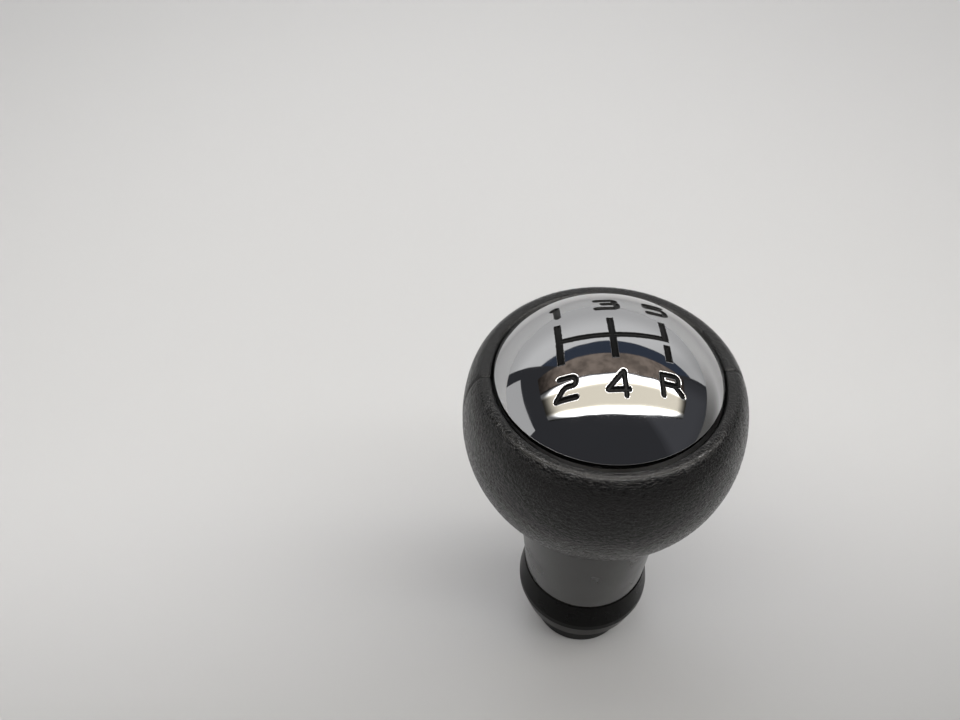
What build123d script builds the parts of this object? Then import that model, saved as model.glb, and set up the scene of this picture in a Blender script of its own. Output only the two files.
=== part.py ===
"""Gear shift knob: leather-covered ball head with a chrome cap, on a plastic neck.

Millimetres. The origin is the centre of the foot, +Z runs up the lever,
+X points to the reader's right and +Y points forward in the car.
"""
from build123d import *
from math import sqrt
import os

# Heights, stacked from the foot up
foot_h = 7.0
flange_t = 1.5
collar_h = 12.85
neck_h = 29.7
belly_h = 18.3
shoulder_h = 12.3
cap_proud = 0.2
cap_skirt_h = 3.1
dome_rise = 9.57

# Head and its leather skin
head_d = 52.0
shoulder_w = 4.25
crest_fullness = 0.75
shoulder_fullness = 0.35
belly_fullness = 0.5
skin_t = 0.9
seam_w = 0.7
seam_d = 0.6
tuck_gap = 0.2

# Chrome cap
cap_gap = 0.55
cap_wall = 1.8
cap_edge_r = 0.3
snap_legs = 4
leg_arc = 26.0
leg_t = 1.6
barb_drop = 4.0
barb_h = 2.6
barb_land = 0.8
barb_out = 0.8
snap_clear = 0.2

# Head core
rim_edge_r = 0.2
deck_w = 4.7
hub_wall = 2.2
hub_roof = 2.0
core_floor = 5.0
core_ribs = 6
core_rib_t = 1.8
core_rib_h = 7.0
spigot_h = 15.0
spigot_wall = 2.0

# Neck and collar
neck_wall = 1.8
neck_flare = 2.25
collar_step = 1.0
collar_t = 2.1
collar_top_t = 1.15
collar_low_t = 0.85
collar_under_h = 4.8
collar_band_h = 1.5
collar_round = 1.0

# Lever bush and its spring ring
lever_d = 12.0
bore_depth = 60.0
mouth_chamfer = 0.8
foot_round = 0.6
flange_lip = 0.3
bush_wall = 1.8
bush_roof = 2.5
bush_head_h = 4.0
bush_band_h = 3.0
bush_ribs = 8
bush_rib_t = 1.6
bush_rib_h = 2.5
grip_h = 14.0
slots = 4
slot_w = 1.4
slot_margin = 1.0
ring_t = 1.2
ring_w = 1.6
ring_seat = 0.3
ring_gap_deg = 30.0

# Clearances: sliding fits on the radius, and the room left at the end of a blind seat
fit = 0.05
end_gap = 0.3

# Levels
z_seat = foot_h + flange_t
z_collar = z_seat + collar_h
z_neck = z_collar + neck_h
z_belly = z_neck + belly_h
z_crest = z_belly + shoulder_h
z_rim = z_crest + cap_proud
z_deck = z_rim - cap_skirt_h
z_core = z_neck + skin_t
z_pocket = z_core + core_floor
z_spigot = z_neck - spigot_h
z_bush = bore_depth + bush_roof
z_hub = z_bush + end_gap + hub_roof
z_grip_top = z_bush - bush_head_h
z_grip = z_grip_top - grip_h
z_ring = z_grip + (grip_h - ring_w) / 2
z_barb = z_deck - barb_drop
z_leg = z_barb - barb_h

# Radii of the neck, from the lever outwards
r_bore = lever_d / 2 + fit
r_waist = r_bore + bush_wall
r_ring = r_waist - ring_seat
r_bush = r_waist + bush_rib_h
r_neck_bore = r_bush + fit
r_spigot = r_neck_bore + spigot_wall
r_hub = r_neck_bore + hub_wall
r_tuck = r_spigot + tuck_gap
r_seat = r_neck_bore + neck_wall
r_neck_low = r_seat + collar_step
r_neck = r_neck_low + neck_flare

# Radii of the head, from its widest ring inwards
r_head = head_d / 2
r_crest = r_head - shoulder_w
roll_r = skin_t + rim_edge_r
r_flap = r_crest - roll_r
r_cap = r_flap - cap_gap
r_pocket = r_flap + skin_t - deck_w
dome_r = (r_cap**2 + dome_rise**2) / (2 * dome_rise)
z_dome = z_rim + dome_rise - dome_r

# Distance below which two points are the same
tiny = 0.001


def turned(edges, angle=360):
    """Solid turned about Z from a closed outline of (radius, height) edges."""
    return revolve(Plane.XZ * make_face(edges), Axis.Z, angle)


def turned_polygon(*points, angle=360):
    """Solid turned about Z from straight (radius, height) runs."""
    return turned(Polyline(*points, close=True).edges(), angle)


def tube(r_in, r_out, z_low, z_high):
    """Plain ring between two radii and two heights."""
    return turned_polygon((r_in, z_low), (r_out, z_low), (r_out, z_high), (r_in, z_high))


def spoke(r_in, r_out, width, z_low, z_high):
    """Upright plate that runs out along +X between two radii."""
    plate = Box(r_out - r_in, width, z_high - z_low, align=(Align.MIN, Align.CENTER, Align.MIN))
    return Pos(r_in, 0, z_low) * plate


def around(count, shape, start=0.0):
    """Copies of a shape spaced evenly about Z."""
    return [Rot(0, 0, start + 360 * i / count) * shape for i in range(count)]


def quarter(start, corner, end, leave, arrive):
    """Quarter curve that leaves start and reaches end along the sides of the corner.

    The further it follows each side, as a share of that side, the fuller the curve is there.
    """
    way_out = tuple(p + leave * (c - p) for p, c in zip(start, corner))
    way_in = tuple(p + arrive * (c - p) for p, c in zip(end, corner))
    return Bezier(start, way_out, way_in, end)


def skin_line(inset, past=0.0):
    """Edges of the head from the cap gap, over the crest and round the belly, to the neck.

    The line lies inside the leather's face by the inset, and runs on past both hems.
    """
    flap_top = (r_flap + inset, z_crest - roll_r)
    crest = (r_crest, z_crest - inset)
    belly = (r_head - inset, z_belly)
    under = (r_neck, z_neck + inset)
    return [
        Line((r_flap + inset, z_deck - past), flap_top),
        RadiusArc(flap_top, crest, roll_r - inset),
        quarter(crest, (belly[0], crest[1]), belly, crest_fullness, shoulder_fullness),
        quarter(belly, (belly[0], under[1]), under, belly_fullness, belly_fullness),
        Line(under, (r_tuck - past, z_neck + inset)),
    ]


def skin_band(near, far, past=0.0):
    """Upright section between two insets of the skin line."""
    outer = skin_line(near, past)
    inner = skin_line(far, past)
    hems = [Line(outer[0] @ 0, inner[0] @ 0), Line(outer[-1] @ 1, inner[-1] @ 1)]
    return Plane.XZ * make_face(outer + inner + hems)


def grip_cover():
    """One leather panel, half the way round, bevelled along both seams into a crease."""
    panel = revolve(skin_band(0, skin_t), Axis.Z, 180)
    clear = 2 * seam_d
    at_seam = skin_band(-clear, seam_d, seam_d)
    beyond = Pos(0, 2 * seam_w, 0) * skin_band(-clear, -seam_d, seam_d)
    crease = loft([at_seam, beyond], ruled=True)
    return panel - crease - mirror(crease, Plane.YZ)


def snap_leg():
    """One springy leg of the cap, with a barb that catches under the lip of the snap groove."""
    r_out = r_pocket - snap_clear
    r_in = r_out - leg_t
    z_top = z_dome + sqrt((dome_r - cap_wall / 2) ** 2 - ((r_in + r_out) / 2) ** 2)
    outline = [
        (r_in, z_leg),
        (r_out, z_leg),
        (r_out + barb_out, z_barb - barb_land),
        (r_out + barb_out, z_barb),
        (r_out, z_barb),
        (r_out, z_top),
        (r_in, z_top),
    ]
    return Rot(0, 0, -leg_arc / 2) * turned_polygon(*outline, angle=leg_arc)


def chrome_cap():
    """Plated dome with a rounded rim, a skirt that stands on the deck, and snap legs."""
    rim = (r_cap, z_rim)
    apex = (0, z_dome + dome_r)
    outside = make_face([
        RadiusArc(apex, rim, dome_r),
        *Polyline(rim, (r_cap, z_deck), (0, z_deck), apex).edges(),
    ])
    outside = fillet(outside.vertices().sort_by_distance((*rim, 0))[0], cap_edge_r)
    hollow = Pos(0, z_dome) * Circle(dome_r - cap_wall)
    hollow &= Rectangle(r_cap - cap_wall, z_dome + dome_r, align=(Align.MIN, Align.MIN))
    shell = revolve(Plane.XZ * (outside - hollow), Axis.Z)
    return shell + around(snap_legs, snap_leg(), 180 / snap_legs)


def head_core():
    """Moulded core: ball with a pocket under the cap, a closed hub on ribs and a spigot below."""
    skin = skin_line(skin_t)
    inside = Polyline(
        skin[0] @ 0, (0, z_deck), (0, z_spigot), (r_spigot, z_spigot), (r_spigot, z_core), skin[-1] @ 1
    )
    ball = turned(skin + inside.edges())
    pocket = tube(0, r_pocket, z_pocket, z_deck)
    snap_groove = tube(r_pocket - leg_t, r_pocket + barb_out, z_leg - snap_clear, z_barb)
    hub = tube(0, r_hub, z_core, z_hub)
    rib = spoke(0, r_pocket, core_rib_t, z_pocket, z_pocket + core_rib_h)
    bush_seat = tube(0, r_neck_bore, z_spigot, z_bush + end_gap)
    return ball - pocket - snap_groove + hub + around(core_ribs, rib) - bush_seat


def neck_sleeve():
    """Tapered sleeve: socket for the core's spigot above, stepped seat for the collar below."""
    r_socket = r_spigot + fit
    z_socket = z_spigot - end_gap
    return turned_polygon(
        (r_neck_bore, z_seat),
        (r_seat, z_seat),
        (r_seat, z_collar),
        (r_neck_low, z_collar),
        (r_neck, z_neck),
        (r_socket, z_neck),
        (r_socket, z_socket),
        (r_neck_bore, z_socket),
    )


def gaiter_collar():
    """Ring held between the neck's shoulder and the bush's flange, widest in a band low down."""
    r_in = r_seat + fit
    z_band = z_seat + collar_under_h
    section = make_face(Polyline(
        (r_in, z_seat),
        (r_in + collar_low_t, z_seat),
        (r_in + collar_t, z_band),
        (r_in + collar_t, z_band + collar_band_h),
        (r_in + collar_top_t, z_collar),
        (r_in, z_collar),
        close=True,
    ))
    band = section.vertices().filter_by(lambda v: z_seat + tiny < v.Y < z_collar - tiny)
    return revolve(Plane.XZ * fillet(band, collar_round), Axis.Z)


def lever_bush():
    """Bush for the lever: round foot, flange, ribbed body, and a slotted grip under a closed head."""
    z_ribs = z_seat + bush_band_h
    z_ribs_top = z_grip - bush_band_h
    foot = tube(0, r_bush, 0, z_ribs)
    foot = fillet(foot.faces().sort_by(Axis.Z)[0].outer_wire().edges(), foot_round)
    flange = tube(0, r_seat + flange_lip, foot_h, z_seat)
    bands = tube(0, r_bush, z_ribs_top, z_grip) + tube(0, r_bush, z_grip_top, z_bush)
    rib = spoke(0, r_bush, bush_rib_t, z_ribs, z_ribs_top)
    ribs = tube(0, r_bush, z_ribs, z_ribs_top) & around(bush_ribs, rib)
    body = foot + flange + bands + ribs + tube(0, r_waist, z_ribs, z_grip_top)
    mouth = Cone(r_bore + mouth_chamfer, r_bore, mouth_chamfer, align=(Align.CENTER, Align.CENTER, Align.MIN))
    groove = tube(r_ring - fit, r_bush, z_ring - fit, z_ring + ring_w + fit)
    slot = spoke(0, r_bush, slot_w, z_grip + slot_margin, z_grip_top - slot_margin)
    return body - tube(0, r_bore, 0, bore_depth) - mouth - groove - around(slots, slot, 180 / slots)


def bush_ring():
    """Open spring ring of flat wire in the groove round the slotted grip."""
    r_out = r_ring + ring_t
    section = [(r_ring, z_ring), (r_out, z_ring), (r_out, z_ring + ring_w), (r_ring, z_ring + ring_w)]
    return turned_polygon(*section, angle=360 - ring_gap_deg)


cover = grip_cover()
parts = {
    "chrome_cap": chrome_cap(),
    "head_core": head_core(),
    "grip_cover_front": Rot(0, 0, 180) * cover,
    "grip_cover_rear": cover,
    "neck_sleeve": neck_sleeve(),
    "gaiter_collar": gaiter_collar(),
    "lever_bush": lever_bush(),
    "bush_ring": bush_ring(),
}

os.makedirs("parts", exist_ok=True)
for name, solid in parts.items():
    export_step(solid, f"parts/{name}.step")
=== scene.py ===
"""Looks of the gear shift knob: engraved chrome cap, grained leather, satin plastics, pale studio.

Sizes are in millimetres and become metres where a mesh, lamp or camera is made.
The frame is the solids' own: origin at the foot's centre, +Z up the lever, +Y forward in the car.
"""
import math
import bpy
import numpy as np
from mathutils import Matrix, Vector
from mathutils.geometry import delaunay_2d_cdt


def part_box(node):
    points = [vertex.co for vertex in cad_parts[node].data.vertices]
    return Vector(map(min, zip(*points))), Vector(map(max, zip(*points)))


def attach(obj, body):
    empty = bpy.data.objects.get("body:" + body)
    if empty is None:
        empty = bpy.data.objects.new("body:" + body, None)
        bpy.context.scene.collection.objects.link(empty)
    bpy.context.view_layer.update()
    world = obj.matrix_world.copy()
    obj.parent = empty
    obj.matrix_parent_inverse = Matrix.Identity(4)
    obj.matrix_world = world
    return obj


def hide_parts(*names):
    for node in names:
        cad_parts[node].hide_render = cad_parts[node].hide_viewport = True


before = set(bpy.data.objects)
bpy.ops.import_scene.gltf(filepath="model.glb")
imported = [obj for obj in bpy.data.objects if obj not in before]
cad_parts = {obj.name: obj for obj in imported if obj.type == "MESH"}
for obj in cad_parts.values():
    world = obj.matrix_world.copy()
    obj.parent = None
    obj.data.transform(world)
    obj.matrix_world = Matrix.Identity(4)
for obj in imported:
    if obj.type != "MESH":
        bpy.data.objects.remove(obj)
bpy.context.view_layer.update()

MM = 0.001

# Places and sizes read from the solids
cap_low, cap_high = (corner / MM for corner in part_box("chrome_cap"))
rear_low, rear_high = (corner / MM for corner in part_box("grip_cover_rear"))
r_cap = cap_high.x
z_apex = cap_high.z
z_leg = cap_low.z
r_head = rear_high.y
z_neck = rear_low.z
z_crest = rear_high.z

# Head profile, as on the solids
belly_h = 18.3
shoulder_w = 4.25
crest_fullness = 0.75
shoulder_fullness = 0.35
belly_fullness = 0.5
skin_t = 0.9
roll_r = 1.1
r_neck = 15.45
r_tuck = 12.6
cap_proud = 0.2
cap_skirt_h = 3.1
z_belly = z_neck + belly_h
z_rim = z_crest + cap_proud
z_deck = z_rim - cap_skirt_h
r_crest = r_head - shoulder_w
r_flap = r_crest - roll_r

# Leather panels: the gap beside the cap widens by the slack at the front
lip_gap = 0.2
lip_slack = 0.7
lip_r = 0.95
seam_w = 0.9
seam_d = 0.75
seam_d_crest = 0.25
seam_crowding = 0.06
skin_step = 0.2
inner_stride = 8
lip_points = 60
crest_points = 300
belly_points = 400
r_lip = r_cap + lip_gap
crest_end_z = 79.5

# Leather grain: pebbles with a finer net over them, and pores in the material
grain_cell = 0.75
grain_depth = 0.09
grain_on_crest = 0.4
drift_cell = 0.9
drift_reach = 0.25
drift_seed = 40
pebble_edge = 0.45
pebble_seed = 3
net_scale = 0.55
net_edge = 0.5
net_seed = 11
net_weight = 0.3
pore_cell = 0.55
pore_depth = 0.036
pore_edge = 0.16
pore_drift = 0.6
pore_drift_cells = 1.5

# Chrome cap
cap_wall = 1.8
cap_edge_r = 0.3
deck_w = 4.7
leg_count = 4
leg_arc = 26.0
leg_t = 1.6
leg_steps = 8
snap_clear = 0.2
barb_drop = 4.0
barb_land = 0.8
barb_out = 0.8
dome_rise = z_apex - z_rim
dome_r = (r_cap**2 + dome_rise**2) / (2 * dome_rise)
z_dome = z_apex - dome_r

# Mesh of the cap: a fine lattice in the engraving and a coarse one elsewhere
fine_step = 0.09
fine_reach = 1.5
coarse_step = 0.55
coarse_clear = 0.7
lattice_margin = 0.6
merge_gap = 1e-6
slope_step = 0.01
ring_count = 360
edge_rings = 7
shell_rings = 12
shell_end = 0.05
far_off = 9.0

# Shift pattern, on the plan of the cap; each row of marks has its place and stroke width
columns_x = (-9.05, -0.15, 8.9)
gate_top = 4.25
gate_low = -4.8
bar_y = -0.08
reverse_top = -1.5
upright_w = 1.02
bar_w = 1.0
mark_rows = {"135": (8.75, 1.02), "24R": (-9.0, 0.88)}
groove_depth = 0.32
groove_wall = 0.38
groove_lip = 0.14
lip_drop = 0.04
paint_spill = 0.1
spill_end = (-7.0, -5.5)

# Camera, fitted to the photograph's frame of 960 by 720 pixels
frame_px = 960
focal_px = 900.0
camera_pitch = 46.9
camera_roll = 1.23
camera_turn = -0.33
camera_at = (-22.47, -105.93, 198.95)
sensor_mm = 36.0
clip_near = 5.0
clip_far = 20000.0

# Mixing of bits in the hash of a lattice cell
word = 0xFFFFFFFF
seed_factor = 2654435761
axis_factors = (73856093, 19349663, 83492791)
stir_factor = 2246822519
stir_term = 3266489917
stir_shift = 15


def smoothstep(low, high, value):
    """Smooth ramp from 0 at low to 1 at high."""
    t = np.clip((value - low) / (high - low), 0, 1)
    return t * t * (3 - 2 * t)


def lattice_hash(cells, seed):
    """Repeatable random numbers from 0 to 1 for whole-number cells."""
    h = np.full(cells.shape[:-1], seed * seed_factor & word, np.uint64)
    for axis, factor in enumerate(axis_factors):
        h ^= (cells[..., axis].astype(np.int64) * factor).astype(np.uint64) & np.uint64(word)
        h = (h * np.uint64(stir_factor) + np.uint64(stir_term)) & np.uint64(word)
        h ^= h >> np.uint64(stir_shift)
    return h.astype(float) / word


def cell_edges(points, cell, seed):
    """Distance to the nearest border between irregular cells, in cell widths: 0 on the border."""
    scaled = points / cell
    base = np.floor(scaled)
    first = np.full(len(points), np.inf)
    second = np.full(len(points), np.inf)
    for step in np.ndindex(3, 3, 3):
        cells = base + np.array(step) - 1
        seeds = np.stack([lattice_hash(cells, seed + axis) for axis in range(3)], -1)
        gap = np.linalg.norm(cells + seeds - scaled, axis=1)
        second = np.minimum(second, np.maximum(first, gap))
        first = np.minimum(first, gap)
    return second - first


def soft_noise(points, cell, seed):
    """Smooth noise from -1 to 1."""
    scaled = points / cell
    base = np.floor(scaled)
    part = scaled - base
    part = part * part * (3 - 2 * part)
    total = np.zeros(len(points))
    for step in np.ndindex(2, 2, 2):
        corner = np.array(step)
        weight = np.prod(np.where(corner, part, 1 - part), axis=1)
        total += weight * lattice_hash(base + corner, seed)
    return 2 * total - 1


def new_object(name, points, faces):
    """Mesh object from millimetre points, smooth shaded."""
    mesh = bpy.data.meshes.new(name)
    mesh.from_pydata((np.asarray(points) * MM).tolist(), [], faces)
    mesh.validate()
    mesh.polygons.foreach_set("use_smooth", np.ones(len(mesh.polygons), bool))
    thing = bpy.data.objects.new(name, mesh)
    bpy.context.scene.collection.objects.link(thing)
    return thing


def point_values(thing, name, values):
    """One number for each vertex, which materials can read by name."""
    layer = thing.data.attributes.new(name, "FLOAT", "POINT")
    layer.data.foreach_set("value", np.asarray(values, np.float32))


# Shift pattern

def rounded_path(corners, bend, steps=8):
    """Straight runs between corners, with each inner corner rounded over the length of the bend."""
    corners = [np.array(c, float) for c in corners]
    path = [corners[0]]
    for before, corner, after in zip(corners, corners[1:], corners[2:]):
        to_before = before - corner
        to_after = after - corner
        reach = min(bend, np.linalg.norm(to_before) / 2, np.linalg.norm(to_after) / 2)
        start = corner + to_before / np.linalg.norm(to_before) * reach
        end = corner + to_after / np.linalg.norm(to_after) * reach
        for t in np.linspace(0, 1, steps):
            path.append((1 - t) ** 2 * start + 2 * t * (1 - t) * corner + t * t * end)
    return path + [corners[-1]]


# Gear marks: strokes about the mark's centre, each with the bend of its corners
marks = {
    "1": [(0, [(-0.3, 0.9), (0.3, 1.3)]), (0, [(0.35, 1.35), (0.3, -2.0)])],
    "2": [
        (0.75, [(-0.5, 1.62), (2.1, 1.62), (2.1, 0.2), (0.25, 0.2), (-1.2, -1.7)]),
        (0, [(-1.2, -1.7), (2.05, -1.7)]),
    ],
    "3": [
        (0.7, [(-1.6, 1.75), (1.6, 1.75), (1.6, 0.3), (-0.45, 0.3)]),
        (0.8, [(0.9, 0.3), (1.85, 0.3), (1.85, -1.35), (-1.75, -1.35)]),
    ],
    "4": [(0.3, [(1.2, -2.3), (1.1, 1.72), (-1.85, -1.32), (1.7, -1.35)])],
    "5": [
        (0.2, [(1.0, 1.5), (-1.95, 1.4), (-1.95, 0.3)]),
        (0.9, [(-1.95, 0.3), (1.4, 0.3), (1.4, -1.75), (-1.75, -1.75)]),
    ],
    "R": [
        (0, [(-1.68, -1.68), (-1.68, 1.65)]),
        (0.8, [(-1.68, 1.65), (1.1, 1.65), (1.1, 0.1), (-1.68, 0.1)]),
        (0, [(0.35, 0.1), (1.6, -1.2)]),
    ],
}


def pattern_strokes():
    """All engraved strokes as (points, width, square ends), on the plan of the cap."""
    left, middle, right = columns_x
    gate = [
        ([(left, gate_top), (left, gate_low)], upright_w),
        ([(middle, gate_top), (middle, gate_low)], upright_w),
        ([(right, gate_top), (right, bar_y - bar_w / 2)], upright_w),
        ([(right, reverse_top), (right, gate_low)], upright_w),
        ([(left, bar_y), (right, bar_y)], bar_w),
    ]
    strokes = [(np.array(points), width, True) for points, width in gate]
    for row, (y, width) in mark_rows.items():
        for x, mark in zip(columns_x, row):
            for bend, corners in marks[mark]:
                path = np.array(rounded_path(corners, bend)) + (x, y)
                strokes.append((path, width, False))
    return strokes


def stroke_distance(plan, points, width, square):
    """Distance of plan points to a stroke's edge, negative inside; its ends are square or round."""
    nearest = np.full(len(plan), np.inf)
    last = len(points) - 2
    for i, (a, b) in enumerate(zip(points[:-1], points[1:])):
        run = b - a
        length = np.linalg.norm(run)
        if length == 0:
            continue
        along = (plan - a) @ (run / length)
        off = plan - a - np.outer(np.clip(along, 0, length), run / length)
        gap = np.linalg.norm(off, axis=1) - width / 2
        if square and i == 0:
            gap = np.maximum(gap, -along)
        if square and i == last:
            gap = np.maximum(gap, along - length)
        nearest = np.minimum(nearest, gap)
    return nearest


def pattern_distance(plan):
    """Distance of plan points to the nearest engraved edge, negative inside a stroke."""
    return np.min([stroke_distance(plan, *stroke) for stroke in pattern_strokes()], axis=0)


def groove(distance):
    """Depth of the engraving at a distance from its edge: rounded lip, then a round-bottomed channel."""
    lip = lip_drop * np.clip(1 - distance / groove_lip, 0, 1) ** 2
    channel = np.sin(np.clip(-distance / groove_wall, 0, 1) * math.pi / 2)
    return np.where(distance > 0, lip, lip_drop + (groove_depth - lip_drop) * channel)


# Chrome cap

def triangle_lattice(spacing, radius):
    """Plan points of a triangular lattice inside a circle."""
    row_step = spacing * math.sqrt(0.75)
    rows = int(radius / row_step) + 1
    columns = int(radius / spacing) + 1
    j, i = np.mgrid[-rows:rows + 1, -columns:columns + 1]
    plan = np.stack([(i + 0.5 * (j % 2)) * spacing, j * row_step], -1).reshape(-1, 2)
    return plan[np.hypot(*plan.T) < radius - lattice_margin * spacing]


def dome_surface(plan):
    """Heights and normals of the engraved dome over plan points, and their distance to the engraving."""
    distance = pattern_distance(plan)
    slopes = [
        (groove(pattern_distance(plan + shift)) - groove(pattern_distance(plan - shift))) / (2 * slope_step)
        for shift in (np.array([slope_step, 0]), np.array([0, slope_step]))
    ]
    over_centre = np.sqrt(dome_r**2 - (plan**2).sum(1))
    normals = np.column_stack([plan / over_centre[:, None] + np.array(slopes).T, np.ones(len(plan))])
    normals /= np.linalg.norm(normals, axis=1)[:, None]
    return z_dome + over_centre - groove(distance), normals, distance


def cap_rings():
    """Rim, skirt and inner shell as (radius, height, normal) rings, from the dome's edge inwards.

    A normal is (outward, upward), and both are 0 where the faces decide.
    """
    side_r = r_cap - cap_edge_r
    reach = dome_r - cap_edge_r
    centre_z = z_dome + math.sqrt(reach**2 - side_r**2)
    start = math.acos(side_r / reach)
    rings = []
    for a in np.linspace(start, 0, edge_rings):
        way = (math.cos(a), math.sin(a))
        rings.append((side_r + cap_edge_r * way[0], centre_z + cap_edge_r * way[1], way))
    inner_r = dome_r - cap_wall
    skirt_r = r_cap - cap_wall
    rings += [(r_cap, z_deck, (0, 0)), (skirt_r, z_deck, (0, 0))]
    for a in np.linspace(math.asin(skirt_r / inner_r), shell_end, shell_rings):
        rings.append((inner_r * math.sin(a), z_dome + inner_r * math.cos(a), (0, 0)))
    return rings


def snap_leg_mesh(turn, start):
    """Points and faces of one barbed leg inside the cap, numbered from start."""
    r_out = r_flap + skin_t - deck_w - snap_clear
    r_in = r_out - leg_t
    z_barb = z_deck - barb_drop
    z_top = z_dome + math.sqrt((dome_r - cap_wall / 2) ** 2 - ((r_in + r_out) / 2) ** 2)
    outline = [
        (r_in, z_leg),
        (r_out, z_leg),
        (r_out + barb_out, z_barb - barb_land),
        (r_out + barb_out, z_barb),
        (r_out, z_barb),
        (r_out, z_top),
        (r_in, z_top),
    ]
    angles = np.radians(turn + np.linspace(-leg_arc / 2, leg_arc / 2, leg_steps + 1))
    points = [(r * math.cos(a), r * math.sin(a), z) for a in angles for r, z in outline]
    n = len(outline)
    end = start + leg_steps * n
    faces = [list(range(start, start + n)), list(range(end, end + n))[::-1]]
    for low in range(start, end, n):
        for i in range(n):
            j = (i + 1) % n
            faces.append([low + i, low + n + i, low + n + j, low + j])
    return points, faces


def cap_shell():
    """Plated cap with the shift pattern cut into its dome."""
    rings = cap_rings()
    edge_r = rings[0][0]
    turns = np.arange(ring_count) * 2 * math.pi / ring_count
    around = np.stack([np.cos(turns), np.sin(turns)], -1)
    fine = triangle_lattice(fine_step, edge_r)
    fine = fine[pattern_distance(fine) < groove_lip + fine_reach * fine_step]
    coarse = triangle_lattice(coarse_step, edge_r)
    coarse = coarse[pattern_distance(coarse) > groove_lip + coarse_clear * coarse_step]
    plan = np.concatenate([edge_r * around, fine, coarse])
    flat, _, faces, origins, _, _ = delaunay_2d_cdt([Vector(p) for p in plan], [], [], 0, merge_gap)
    flat = np.array([tuple(v) for v in flat])
    heights, normals, distance = dome_surface(flat)
    points = np.column_stack([flat, heights]).tolist()
    faces = [list(f) for f in faces]
    normals = normals.tolist()
    where = {source: i for i, sources in enumerate(origins) for source in sources}
    last = [where[i] for i in range(ring_count)]
    for r, z, (outward, upward) in rings[1:]:
        now = list(range(len(points), len(points) + ring_count))
        points += [(r * x, r * y, z) for x, y in around]
        normals += [(outward * x, outward * y, upward) for x, y in around]
        for i in range(ring_count):
            j = (i + 1) % ring_count
            faces.append([last[i], now[i], now[j], last[j]])
        last = now
    faces.append(last[::-1])
    for k in range(leg_count):
        leg_points, leg_faces = snap_leg_mesh((k + 0.5) * 360 / leg_count, len(points))
        points += leg_points
        faces += leg_faces
        normals += [(0, 0, 0)] * len(leg_points)
    away = np.full(len(points) - len(distance), far_off)
    spill = paint_spill * smoothstep(*spill_end, flat[:, 1])
    cap = new_object("cap_shell", points, faces)
    point_values(cap, "engraving", np.concatenate([distance - spill, away]))
    cap.data.normals_split_custom_set_from_vertices(normals)
    return cap


# Leather

def bezier(start, corner, end, leave, arrive, count):
    """Quarter curve that leaves start and reaches end along the sides of the corner."""
    p0, c, p3 = (np.array(p, float) for p in (start, corner, end))
    p1 = p0 + leave * (c - p0)
    p2 = p3 + arrive * (c - p3)
    t = np.linspace(0, 1, count)[:, None]
    return (1 - t) ** 3 * p0 + 3 * t * (1 - t) ** 2 * p1 + 3 * t * t * (1 - t) * p2 + t**3 * p3


def skin_profile(inset):
    """Head profile as (radius, height) points, from the flap at the cap round to the hem under the neck."""
    turn = np.linspace(math.pi, math.pi / 2, lip_points)[:, None]
    bend = (lip_r - inset) * np.hstack([np.cos(turn), np.sin(turn)])
    crest = (r_crest, z_crest - inset)
    belly = (r_head - inset, z_belly)
    under = (r_neck, z_neck + inset)
    shoulder_corner = (belly[0], crest[1])
    under_corner = (belly[0], under[1])
    return np.concatenate([
        [(r_lip + inset, z_deck)],
        bend + (r_lip + lip_r, z_crest - lip_r),
        bezier(crest, shoulder_corner, belly, crest_fullness, shoulder_fullness, crest_points),
        bezier(belly, under_corner, under, belly_fullness, belly_fullness, belly_points)[1:],
        [(r_tuck, z_neck + inset)],
    ])


def resample(profile, count):
    """Evenly spaced points along a profile."""
    steps = np.hypot(*np.diff(profile, axis=0).T)
    length = np.concatenate([[0], np.cumsum(steps)])
    at = np.linspace(0, length[-1], count)
    return np.stack([np.interp(at, length, profile[:, axis]) for axis in range(2)], -1)


def spin(profile, angle):
    """Grid of points from a profile turned to each angle."""
    r, z = profile[:, :1], profile[:, 1:]
    return np.stack([r * np.cos(angle), r * np.sin(angle), np.repeat(z, len(angle), 1)], -1)


def leather_grain(points):
    """Pebbled grain from 0 in the creases to 1 on the pebbles."""
    drift = np.stack([soft_noise(points, drift_cell, drift_seed + axis) for axis in range(3)], -1)
    spots = points + drift_reach * drift
    pebbles = smoothstep(0.0, pebble_edge, cell_edges(spots, grain_cell, pebble_seed))
    net = smoothstep(0.0, net_edge, cell_edges(spots, net_scale * grain_cell, net_seed))
    return (1 - net_weight) * pebbles + net_weight * net


def panel_skin(outer, angle, turn):
    """Outer points of a panel with creased seams, grain and slack lip, and the grain at each point."""
    along = np.gradient(outer, axis=0)
    normal = np.stack([-along[:, 1], along[:, 0]], -1)
    normal /= np.linalg.norm(normal, axis=1)[:, None]
    on_side = 1 - smoothstep(crest_end_z, z_crest, outer[:, 1:])
    from_seam = np.minimum(angle - turn, math.pi + turn - angle)
    near = np.clip(1 - outer[:, :1] * from_seam / seam_w, 0, 1)
    crease = (seam_d_crest + (seam_d - seam_d_crest) * on_side) * (1 - np.sqrt(1 - near**2))
    grain = leather_grain(spin(outer, angle).reshape(-1, 3)).reshape(crease.shape)
    depth = grain_depth * (grain_on_crest + (1 - grain_on_crest) * on_side)
    inset = crease + depth * (1 - grain)
    at_lip = smoothstep(z_deck, crest_end_z, outer[:, 1:]) * (1 - smoothstep(r_lip, r_crest, outer[:, :1]))
    slack = lip_slack * at_lip * np.clip(-np.sin(angle), 0, 1) ** 2
    r = outer[:, :1] - normal[:, :1] * inset + slack
    z = outer[:, 1:] - normal[:, 1:] * inset
    skin = np.stack([r * np.cos(angle), r * np.sin(angle), z], -1)
    return skin.reshape(-1, 3), grain.ravel()


def grid_faces(index):
    """Quads of a grid of point numbers."""
    quads = np.stack([index[:-1, :-1], index[:-1, 1:], index[1:, 1:], index[1:, :-1]], -1)
    return quads.reshape(-1, 4).tolist()


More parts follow.
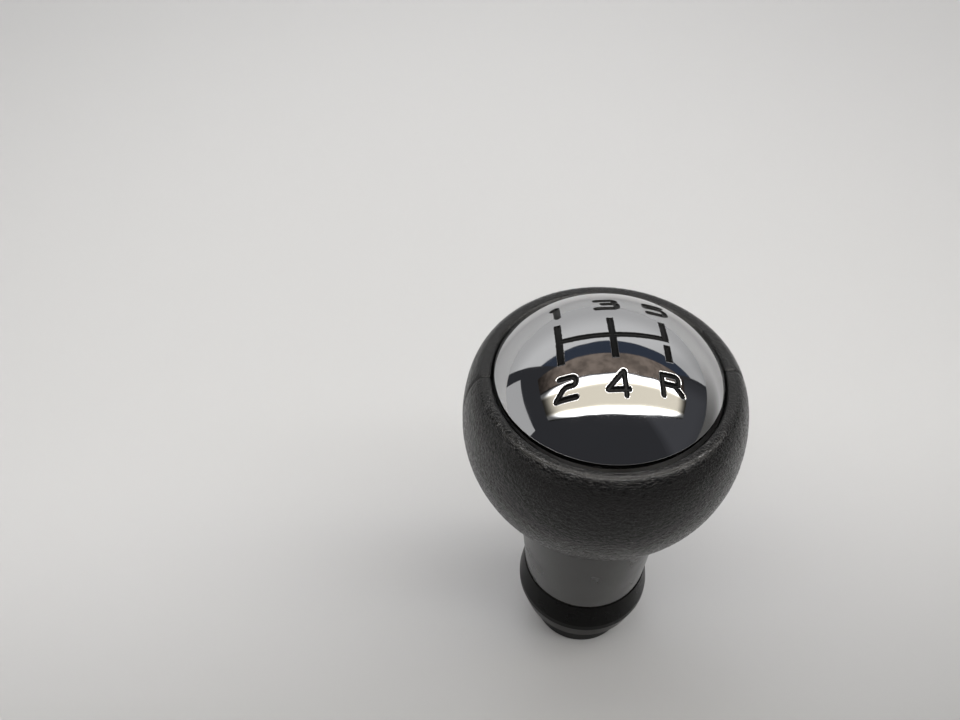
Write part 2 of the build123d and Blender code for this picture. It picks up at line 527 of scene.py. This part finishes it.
def hem_faces(front, rear):
    """Faces that close the four edges between the outer and the inner grid of a panel."""
    hems = []
    for edge, far, flip in (
        (front[0], rear[0], False),
        (front[-1], rear[-1], True),
        (front[:, 0], rear[:, 0], True),
        (front[:, -1], rear[:, -1], False),
    ):
        for k in range(len(far) - 1):
            strip = list(edge[k * inner_stride:(k + 1) * inner_stride + 1]) + [far[k + 1], far[k]]
            hems.append([int(i) for i in (strip if flip else strip[::-1])])
    return hems


def leather_panel(name, turn):
    """Half of the leather cover: grained outside, creased seams, plain inside."""
    outer = skin_profile(0.0)
    length = np.hypot(*np.diff(outer, axis=0).T).sum()
    rows = inner_stride * round(length / skin_step / inner_stride) + 1
    columns = inner_stride * round(math.pi * r_head / skin_step / inner_stride) + 1
    outer = resample(outer, rows)
    spread = np.linspace(0, 1, columns)
    angle = math.pi * (spread - seam_crowding * np.sin(2 * math.pi * spread)) + turn
    skin, grain = panel_skin(outer, angle, turn)
    back = resample(skin_profile(skin_t), rows)[::inner_stride]
    back_angle = angle[::inner_stride]
    inside = spin(back, back_angle).reshape(-1, 3)
    front = np.arange(len(skin)).reshape(rows, columns)
    rear = np.arange(len(inside)).reshape(len(back), len(back_angle)) + len(skin)
    faces = grid_faces(front) + [quad[::-1] for quad in grid_faces(rear)]
    hems = hem_faces(front, rear)
    panel = new_object(name, np.concatenate([skin, inside]), faces + hems)
    smooth = np.arange(len(faces) + len(hems)) < len(faces)
    panel.data.polygons.foreach_set("use_smooth", smooth)
    point_values(panel, "grain", np.concatenate([grain, np.ones(len(inside))]))
    return panel


# Materials: sizes of their variation, and ranges as (least, most)

noise_middle = (0.3, 0.7)
plating = (0.55, 0.553, 0.56)
paint_black = (0.003, 0.003, 0.003)
paint_specular = 0.15
paint_rough = 0.35
paint_edge = 0.03
ragged_size = 0.4
ragged_reach = 0.04
smudge_size = 6.0
smudge_middle = (0.35, 0.75)
plating_rough = (0.03, 0.07)
wave_size = 5.0
wave_depth = 0.03
# Painted shade: the leather's creases are darker than its pebbles
painted_crease_shade = (0.0025, 0.0025, 0.0025)
pebble_black = (0.005, 0.005, 0.005)
gloss_size = 1.2
leather_rough = (0.17, 0.25)
leather_specular = 0.52
patch_size = 8.0
patch_rough = 0.04
wire_dark = (0.5, 0.5, 0.52)
wire_bright = (0.6, 0.6, 0.62)
wire_patch = 2.0
wire_scratch = 0.3
wire_rough = (0.25, 0.4)

# Places of a Mix node's sockets, whose names are the same for numbers and colours
mix_factor = 0
mix_number_a, mix_number_b, mix_number_out = 2, 3, 0
mix_colour_a, mix_colour_b, mix_colour_out = 6, 7, 2


def shader(name):
    """New node material: returns it with its node tree and its main shader."""
    material = bpy.data.materials.new(name)
    material.use_nodes = True
    return material, material.node_tree, material.node_tree.nodes["Principled BSDF"]


def add(tree, kind, **settings):
    """New node with its settings."""
    node = tree.nodes.new(kind)
    for key, value in settings.items():
        setattr(node, key, value)
    return node


def noise(tree, size_mm, detail=2.0, output="Fac"):
    """Noise in the object's own space with features of about the given size."""
    place = add(tree, "ShaderNodeTexCoord")
    texture = add(tree, "ShaderNodeTexNoise")
    texture.inputs["Scale"].default_value = 1 / (size_mm * MM)
    texture.inputs["Detail"].default_value = detail
    tree.links.new(place.outputs["Object"], texture.inputs["Vector"])
    return texture.outputs[output]


def ramp(tree, source, low, high, to_low, to_high):
    """Maps a source smoothly from one range to another."""
    node = add(tree, "ShaderNodeMapRange", interpolation_type="SMOOTHSTEP")
    for key, value in (("From Min", low), ("From Max", high), ("To Min", to_low), ("To Max", to_high)):
        node.inputs[key].default_value = value
    tree.links.new(source, node.inputs["Value"])
    return node.outputs["Result"]


def math_node(tree, operation, first, second):
    """Result of an operation on a source and either another source or a number."""
    node = add(tree, "ShaderNodeMath", operation=operation)
    tree.links.new(first, node.inputs[0])
    if isinstance(second, (int, float)):
        node.inputs[1].default_value = second
    else:
        tree.links.new(second, node.inputs[1])
    return node.outputs[0]


def blend(tree, factor, first, second):
    """Colour between two, by a factor."""
    node = add(tree, "ShaderNodeMix", data_type="RGBA")
    node.inputs[mix_colour_a].default_value = (*first, 1)
    node.inputs[mix_colour_b].default_value = (*second, 1)
    tree.links.new(factor, node.inputs[mix_factor])
    return node.outputs[mix_colour_out]


def bump(tree, bsdf, height, depth_mm):
    """Fine relief of a given depth."""
    node = add(tree, "ShaderNodeBump")
    node.inputs["Distance"].default_value = depth_mm * MM
    tree.links.new(height, node.inputs["Height"])
    tree.links.new(node.outputs["Normal"], bsdf.inputs["Normal"])


def chrome():
    """Bright plating with faint smudges and a slight waviness; black paint in the engraving."""
    material, tree, bsdf = shader("cap_chrome")
    edge = add(tree, "ShaderNodeAttribute", attribute_name="engraving").outputs["Fac"]
    wander = ramp(tree, noise(tree, ragged_size), *noise_middle, -ragged_reach, ragged_reach)
    ragged = math_node(tree, "ADD", edge, wander)
    paint = ramp(tree, ragged, paint_edge, -paint_edge, 0, 1)
    tree.links.new(blend(tree, paint, plating, paint_black), bsdf.inputs["Base Color"])
    bsdf.inputs["Specular IOR Level"].default_value = paint_specular
    tree.links.new(ramp(tree, paint, 0, 1, 1, 0), bsdf.inputs["Metallic"])
    polish = ramp(tree, noise(tree, smudge_size, detail=3.0), *smudge_middle, *plating_rough)
    rough = add(tree, "ShaderNodeMix", data_type="FLOAT")
    rough.inputs[mix_number_b].default_value = paint_rough
    tree.links.new(paint, rough.inputs[mix_factor])
    tree.links.new(polish, rough.inputs[mix_number_a])
    tree.links.new(rough.outputs[mix_number_out], bsdf.inputs["Roughness"])
    bump(tree, bsdf, noise(tree, wave_size, detail=1.0), wave_depth)
    return material


def leather():
    """Near-black coated leather: semi-gloss pebbles, creases darkened with painted shade, fine pores."""
    material, tree, bsdf = shader("grip_leather")
    grain = add(tree, "ShaderNodeAttribute", attribute_name="grain").outputs["Fac"]
    # Painted shade in the creases: the colour darkens from the pebbles into them
    tree.links.new(blend(tree, grain, painted_crease_shade, pebble_black), bsdf.inputs["Base Color"])
    gloss = ramp(tree, noise(tree, gloss_size, detail=3.0), *noise_middle, *leather_rough)
    tree.links.new(gloss, bsdf.inputs["Roughness"])
    bsdf.inputs["Specular IOR Level"].default_value = leather_specular
    place = add(tree, "ShaderNodeTexCoord").outputs["Object"]
    drift = add(tree, "ShaderNodeVectorMath", operation="SCALE")
    drift.inputs["Scale"].default_value = pore_drift * pore_cell * MM
    wander = noise(tree, pore_drift_cells * pore_cell, output="Color")
    tree.links.new(wander, drift.inputs["Vector"])
    spot = add(tree, "ShaderNodeVectorMath", operation="ADD")
    tree.links.new(place, spot.inputs[0])
    tree.links.new(drift.outputs["Vector"], spot.inputs[1])
    cells = add(tree, "ShaderNodeTexVoronoi", feature="DISTANCE_TO_EDGE")
    cells.inputs["Scale"].default_value = 1 / (pore_cell * MM)
    tree.links.new(spot.outputs["Vector"], cells.inputs["Vector"])
    bump(tree, bsdf, ramp(tree, cells.outputs["Distance"], 0, pore_edge, 0, 1), pore_depth)
    return material


def plastic(name, dark, light, roughness, specular, texture_mm, relief_mm):
    """Moulded plastic with a fine surface texture."""
    material, tree, bsdf = shader(name)
    patches = noise(tree, patch_size, detail=3.0)
    tree.links.new(blend(tree, patches, dark, light), bsdf.inputs["Base Color"])
    sheen = ramp(tree, patches, *noise_middle, roughness - patch_rough, roughness + patch_rough)
    tree.links.new(sheen, bsdf.inputs["Roughness"])
    bsdf.inputs["Specular IOR Level"].default_value = specular
    bump(tree, bsdf, noise(tree, texture_mm), relief_mm)
    return material


def steel():
    """Bright drawn spring wire."""
    material, tree, bsdf = shader("spring_steel")
    bsdf.inputs["Metallic"].default_value = 1.0
    colour = blend(tree, noise(tree, wire_patch), wire_dark, wire_bright)
    tree.links.new(colour, bsdf.inputs["Base Color"])
    drawn = ramp(tree, noise(tree, wire_scratch), *noise_middle, *wire_rough)
    tree.links.new(drawn, bsdf.inputs["Roughness"])
    return material


def dress(thing, material):
    """Gives an object one material."""
    thing.data.materials.clear()
    thing.data.materials.append(material)


# Object

cap = cap_shell()
dress(cap, chrome())
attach(cap, "root")
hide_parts("chrome_cap")

hide = leather()
for name, node, turn in (
    ("leather_front", "grip_cover_front", -math.pi),
    ("leather_rear", "grip_cover_rear", 0.0),
):
    panel = leather_panel(name, turn)
    dress(panel, hide)
    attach(panel, "root")
    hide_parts(node)

finishes = {
    "neck_sleeve": plastic(
        "neck_plastic",
        dark=(0.011, 0.011, 0.011),
        light=(0.014, 0.014, 0.014),
        roughness=0.24,
        specular=0.66,
        texture_mm=0.25,
        relief_mm=0.001,
    ),
    "gaiter_collar": plastic(
        "collar_plastic",
        dark=(0.002, 0.002, 0.002),
        light=(0.003, 0.003, 0.003),
        roughness=0.3,
        specular=0.05,
        texture_mm=0.4,
        relief_mm=0.003,
    ),
    "lever_bush": plastic(
        "bush_plastic",
        dark=(0.008, 0.008, 0.008),
        light=(0.011, 0.011, 0.011),
        roughness=0.4,
        specular=0.15,
        texture_mm=0.3,
        relief_mm=0.004,
    ),
    "head_core": plastic(
        "core_plastic",
        dark=(0.035, 0.035, 0.035),
        light=(0.045, 0.045, 0.046),
        roughness=0.5,
        specular=0.4,
        texture_mm=0.3,
        relief_mm=0.004,
    ),
    "bush_ring": steel(),
}
for node, finish in finishes.items():
    dress(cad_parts[node], finish)


# Studio: a rise, and the sides of the ceiling and the lamp panel, are for each unit of distance from the cap

cap_z = 85.0
wall_y = 850.0
wall_x = (-1260.0, 2500.0)
wall_foot = 100.0
wall_rise = 1.33
band_rise = 2.1
ceiling_h = 1000.0
ceiling_end = 0.47
ceiling_x = (-1.25, 1.7)
box_x = (-1.25, 1.85)
box_y = (-0.52, 0.13)
left_x = -900.0
left_y = (-310.0, 430.0)
left_rise = 0.45
right_x = 1900.0
right_y = (-1800.0, 550.0)
right_rise = 2.0

# Light of the cards: where it changes along a side, from 0 to 1, and its strength there
white = (1, 1, 1)
room_colour = (0.042, 0.043, 0.048)
band_colour = (0.046, 0.058, 0.085)
left_glow = 0.6
wall_brighten = (0.2, 0.6)
wall_glow = (0.61, 0.83)
wall_dim = (0.48, 0.8)
wall_right_glow = 0.73
ceiling_colour = (0.24, 0.195, 0.165)
blotch_size = 130.0
blotch_glow = (0.7, 1.35)
ceiling_dim = (0.5, 1.0)
ceiling_side_glow = 0.15
side_dim = (0.6, 1.0)
side_glow = (1.9, 1.2)
box_cream = (1.0, 0.92, 0.76)
box_edge = (0.32, 0.72)
box_glow = 1.2
box_edge_glow = 11.2
box_corner_share = 0.8
box_round = (0.3, 1.1)
box_end_glow = 0.25
box_hem = (0.85, 1.0)
box_hem_glow = 0.35
fill_at = (-180.0, 400.0, 1280.0)
fill_size = 600.0
fill_power = 8.5
fill_colour = (0.94, 0.97, 1.0)

# Floor: a pale painted pool of light round the object, grey painted shade away from it and in front, and on
# the rim at the front right
floor_pale = (0.717, 0.72, 0.73)
painted_shade_grey = (0.12, 0.12, 0.12)
floor_rough = 0.9
floor_specular = 0.1
dish_start_r = 20.0
dish_flat_r = 500.0
dish_rim_r = 900.0
dish_rim_h = 230.0
dish_rings = 25
dish_turns = 96
# Painted shade on the rim, strongest towards the front right
rim_way = -50.0
rim_spread = (-0.15, 0.75)
rim_fade = (0.0, 0.75)
# Painted pool of light round the object, with painted shade away from it and in front
pool_at = (-38.0, 90.0)
pool_side = 180.0
pool_front = 95.0
pool_back = 260.0
pool_fade = (0.35, 1.9)
pool_shade = 0.2
pool_depth = 0.2
least_shade = 0.06
front_turn = 5.0
front_fade = (0.4, 2.1)
front_depth = 0.56


def stage_mesh(name, points, faces, material):
    """Stage piece, which isn't part of the object."""
    thing = new_object(name, points, faces)
    dress(thing, material)
    return thing


def floor_paper_painted_shade():
    """Matte paper, from pale to grey by the painted shade at each point of the floor."""
    material, tree, bsdf = shader("floor_paper_painted_shade")
    shade = add(tree, "ShaderNodeAttribute", attribute_name="shade").outputs["Fac"]
    tree.links.new(blend(tree, shade, floor_pale, painted_shade_grey), bsdf.inputs["Base Color"])
    bsdf.inputs["Roughness"].default_value = floor_rough
    bsdf.inputs["Specular IOR Level"].default_value = floor_specular
    return material


def painted_floor_shade(points, climb, turns):
    """Painted shade of the paper at the floor's points: 0 is pale, 1 is grey."""
    # Painted shade on the rim, strongest at the front right
    front_right = smoothstep(*rim_spread, np.cos(turns - math.radians(rim_way)))
    rim_shade = np.outer(smoothstep(*rim_fade, climb), front_right).ravel()
    x, y = (np.array(points)[:, :2] - pool_at).T
    away = np.hypot(x / pool_side, np.maximum(y, 0) / pool_back)
    turn = math.radians(front_turn)
    ahead = (x * math.sin(turn) - y * math.cos(turn)) / pool_front
    # Painted shade, more away from the pool of light and more in front, fading out up the rim
    shade = pool_depth * smoothstep(*pool_fade, away) + front_depth * smoothstep(*front_fade, ahead)
    shade = (pool_shade + shade) * np.repeat(1 - climb, dish_turns)
    return np.maximum(np.maximum(rim_shade, shade), least_shade)


def floor_dish():
    """Round pale sweep: flat under the object, rising gently to a low rim all round."""
    flat_radii = np.linspace(dish_start_r, dish_flat_r, dish_rings)
    rim_radii = np.linspace(dish_flat_r, dish_rim_r, dish_rings)[1:]
    radii = np.concatenate([flat_radii, rim_radii])
    climb = np.clip((radii - dish_flat_r) / (dish_rim_r - dish_flat_r), 0, 1)
    turns = np.arange(dish_turns) * 2 * math.pi / dish_turns
    points = [
        (r * math.cos(t), r * math.sin(t), dish_rim_h * c * c)
        for r, c in zip(radii, climb)
        for t in turns
    ]
    faces = [list(range(dish_turns))]
    for row in range(len(radii) - 1):
        low = row * dish_turns
        for i in range(dish_turns):
            j = (i + 1) % dish_turns
            faces.append([low + i, low + dish_turns + i, low + dish_turns + j, low + j])
    floor = stage_mesh("floor", points, faces, floor_paper_painted_shade())
    # Painted light and shade on the paper, one value for each point
    point_values(floor, "shade", painted_floor_shade(points, climb, turns))


def card(name, low, high, material):
    """Flat rectangular card between two corners that share one coordinate."""
    (x0, y0, z0), (x1, y1, z1) = low, high
    if x0 == x1:
        points = [(x0, y0, z0), (x0, y1, z0), (x0, y1, z1), (x0, y0, z1)]
    elif y0 == y1:
        points = [(x0, y0, z0), (x1, y0, z0), (x1, y0, z1), (x0, y0, z1)]
    else:
        points = [(x0, y0, z0), (x1, y0, z0), (x1, y1, z0), (x0, y1, z0)]
    stage_mesh(name, points, [[0, 1, 2, 3]], material)


def glow(name, colour, strength=1.0):
    """Self-lit card: returns the material with its node tree and its shader."""
    material, tree, bsdf = shader(name)
    bsdf.inputs["Base Color"].default_value = (0, 0, 0, 1)
    bsdf.inputs["Specular IOR Level"].default_value = 0.0
    bsdf.inputs["Emission Color"].default_value = (*colour, 1)
    bsdf.inputs["Emission Strength"].default_value = strength
    return material, tree, bsdf


def along_side(tree, axis):
    """Place on a card along one of its sides, from 0 to 1."""
    place = add(tree, "ShaderNodeTexCoord")
    split = add(tree, "ShaderNodeSeparateXYZ")
    tree.links.new(place.outputs["Generated"], split.inputs[0])
    return split.outputs[axis]


def from_middle(tree, axis):
    """Distance from the middle of a card along one of its sides: 0 in the middle, 1 at the ends."""
    centred = math_node(tree, "SUBTRACT", along_side(tree, axis), 0.5)
    return math_node(tree, "MULTIPLY", math_node(tree, "ABSOLUTE", centred, 0), 2)


def backdrop_light():
    """Pale wall, brightest high up and a little dimmer to the right."""
    material, tree, bsdf = glow("backdrop_light", white)
    height = ramp(tree, along_side(tree, "Z"), *wall_brighten, *wall_glow)
    right = ramp(tree, along_side(tree, "X"), *wall_dim, 1, wall_right_glow)
    tree.links.new(math_node(tree, "MULTIPLY", height, right), bsdf.inputs["Emission Strength"])
    return material


def ceiling_light():
    """Dim brown-grey ceiling, a little blotchy."""
    material, tree, bsdf = glow("ceiling_light", ceiling_colour)
    blotches = ramp(tree, noise(tree, blotch_size, detail=3.0), *noise_middle, *blotch_glow)
    fade = ramp(tree, from_middle(tree, "X"), *ceiling_dim, 1, ceiling_side_glow)
    tree.links.new(math_node(tree, "MULTIPLY", blotches, fade), bsdf.inputs["Emission Strength"])
    return material


def softbox_light():
    """Lamp panel: cream in the middle, white along its long edges, with soft rounded ends."""
    material, tree, bsdf = glow("softbox_light", white)
    across = from_middle(tree, "Y")
    along = from_middle(tree, "X")
    edge = math_node(tree, "POWER", ramp(tree, across, *box_edge, 0, 1), 3)
    tree.links.new(blend(tree, edge, box_cream, white), bsdf.inputs["Emission Color"])
    toward_end = math_node(tree, "POWER", along, 3)
    toward_edge = math_node(tree, "MULTIPLY", math_node(tree, "POWER", across, 4), box_corner_share)
    from_centre = math_node(tree, "ADD", toward_end, toward_edge)
    rounded = ramp(tree, from_centre, *box_round, 1, box_end_glow)
    hem = ramp(tree, across, *box_hem, 1, box_hem_glow)
    fade = math_node(tree, "POWER", math_node(tree, "MULTIPLY", rounded, hem), 3)
    lit = math_node(tree, "ADD", math_node(tree, "MULTIPLY", edge, box_edge_glow), box_glow)
    tree.links.new(math_node(tree, "MULTIPLY", lit, fade), bsdf.inputs["Emission Strength"])
    return material


def side_wall_light():
    """Dim grey wall, which fades into the room."""
    material, tree, bsdf = glow("side_wall_light", room_colour)
    fade = math_node(tree, "MAXIMUM", from_middle(tree, "Y"), from_middle(tree, "Z"))
    tree.links.new(ramp(tree, fade, *side_dim, *side_glow), bsdf.inputs["Emission Strength"])
    return material


def fill_lamp():
    """Large soft lamp over the object, which adds no mirror image of itself."""
    data = bpy.data.lights.new("fill", "AREA")
    data.size = fill_size * MM
    data.energy = fill_power
    data.color = fill_colour
    lamp = bpy.data.objects.new("fill", data)
    lamp.location = Vector(fill_at) * MM
    lamp.rotation_euler = (-Vector(fill_at)).to_track_quat("-Z", "Y").to_euler()
    lamp.visible_glossy = False
    lamp.visible_camera = False
    bpy.context.scene.collection.objects.link(lamp)


def studio():
    """Floor, pale backdrop under a dark band, ceiling with a lamp panel, side cards and a soft fill."""
    floor_dish()
    wall_top = cap_z + wall_rise * wall_y
    band_top = cap_z + band_rise * wall_y
    box_z = cap_z + ceiling_h
    card("backdrop", (wall_x[0], wall_y, wall_foot), (wall_x[1], wall_y, wall_top), backdrop_light())
    card(
        "upper_wall",
        (wall_x[0], wall_y, wall_top),
        (wall_x[1], wall_y, band_top),
        glow("band_light", band_colour)[0],
    )
    card(
        "ceiling",
        (ceiling_x[0] * ceiling_h, box_y[1] * ceiling_h, box_z),
        (ceiling_x[1] * ceiling_h, ceiling_end * ceiling_h, box_z),
        ceiling_light(),
    )
    card(
        "softbox",
        (box_x[0] * ceiling_h, box_y[0] * ceiling_h, box_z),
        (box_x[1] * ceiling_h, box_y[1] * ceiling_h, box_z),
        softbox_light(),
    )
    card(
        "left_card",
        (left_x, left_y[0], 0),
        (left_x, left_y[1], cap_z - left_rise * left_x),
        glow("left_light", white, left_glow)[0],
    )
    right_top = cap_z + right_rise * right_x
    card("right_wall", (right_x, right_y[0], 0), (right_x, right_y[1], right_top), side_wall_light())
    fill_lamp()


def room():
    """Dim plain room round the studio."""
    world = bpy.data.worlds.new("room")
    world.use_nodes = True
    back = world.node_tree.nodes["Background"]
    back.inputs["Color"].default_value = (*room_colour, 1)
    back.inputs["Strength"].default_value = 1.0
    bpy.context.scene.world = world


def camera():
    """Camera at the photograph's place and angle."""
    data = bpy.data.cameras.new("camera")
    data.sensor_width = sensor_mm
    data.lens = focal_px / frame_px * sensor_mm
    data.clip_start = clip_near * MM
    data.clip_end = clip_far * MM
    eye = bpy.data.objects.new("camera", data)
    pitch, roll = math.radians(camera_pitch), math.radians(camera_roll)
    right = Vector((1, 0, 0))
    up = Vector((0, math.sin(pitch), math.cos(pitch)))
    x_axis = math.cos(roll) * right - math.sin(roll) * up
    y_axis = math.sin(roll) * right + math.cos(roll) * up
    aim = Matrix((x_axis, y_axis, x_axis.cross(y_axis))).transposed().to_4x4()
    turn = Matrix.Rotation(math.radians(camera_turn), 4, "Z")
    eye.matrix_world = turn @ Matrix.Translation(Vector(camera_at) * MM) @ aim
    bpy.context.scene.collection.objects.link(eye)
    bpy.context.scene.camera = eye


studio()
room()
camera()
bpy.context.scene.view_settings.view_transform = "Standard"
